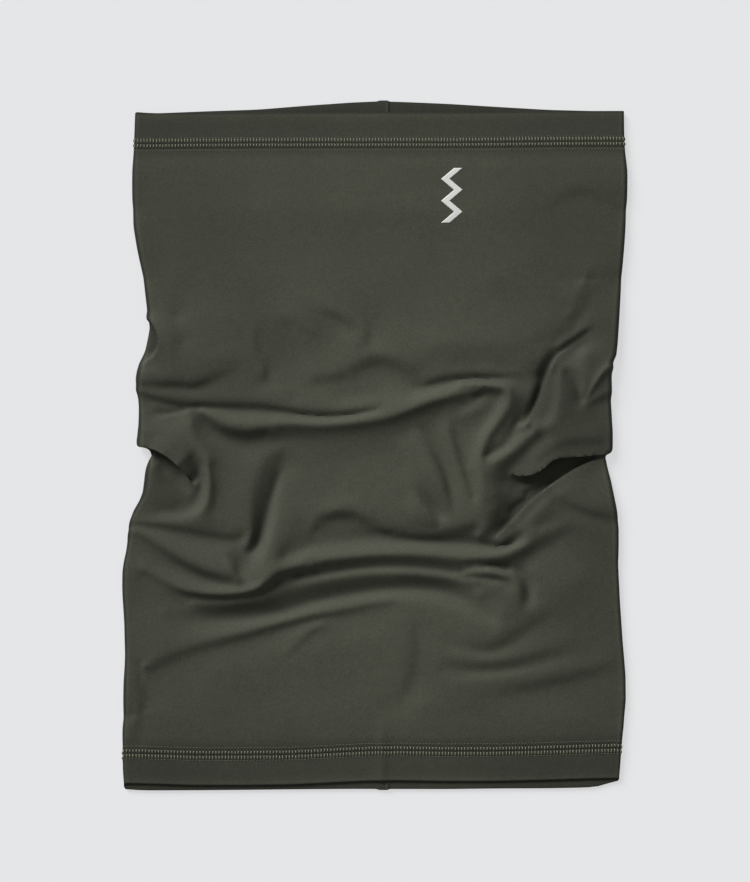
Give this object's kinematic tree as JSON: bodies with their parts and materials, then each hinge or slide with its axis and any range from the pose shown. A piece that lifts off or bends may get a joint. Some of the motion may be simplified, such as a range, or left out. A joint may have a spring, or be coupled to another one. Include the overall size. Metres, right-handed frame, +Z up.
{
  "type": "neck gaiter",
  "caption": "Knitted fabric tube worn round the neck and face, lying flat, with a coverstitched hem at each end, a back seam and a small zigzag print.",
  "frame": {"origin": "under the middle of the part, on the surface that it lies on", "axes": "+X across the flat tube, +Y along it from the bottom hem to the top hem, +Z up from the back layer to the front layer"},
  "size_m": [0.258, 0.3519, 0.02],
  "materials": {
    "jersey": "matte olive double-knit jersey",
    "sewing_thread": "soft sheen olive polyester thread",
    "print_ink": "matte white screen-print ink",
    "label_tape": "smooth white satin tape"
  },
  "bodies": {
    "root": {"body_panel": "jersey", "top_hem_needle_thread_1": "sewing_thread", "top_hem_needle_thread_2": "sewing_thread", "top_hem_needle_thread_3": "sewing_thread", "top_hem_cover_thread": "sewing_thread", "top_hem_looper_thread": "sewing_thread", "bottom_hem_needle_thread_1": "sewing_thread", "bottom_hem_needle_thread_2": "sewing_thread", "bottom_hem_needle_thread_3": "sewing_thread", "bottom_hem_cover_thread": "sewing_thread", "bottom_hem_looper_thread": "sewing_thread", "back_seam_needle_thread_left": "sewing_thread", "back_seam_needle_thread_right": "sewing_thread", "back_seam_upper_looper": "sewing_thread", "back_seam_lower_looper": "sewing_thread", "front_print": "print_ink", "care_label": "label_tape"}
  },
  "joints": []
}
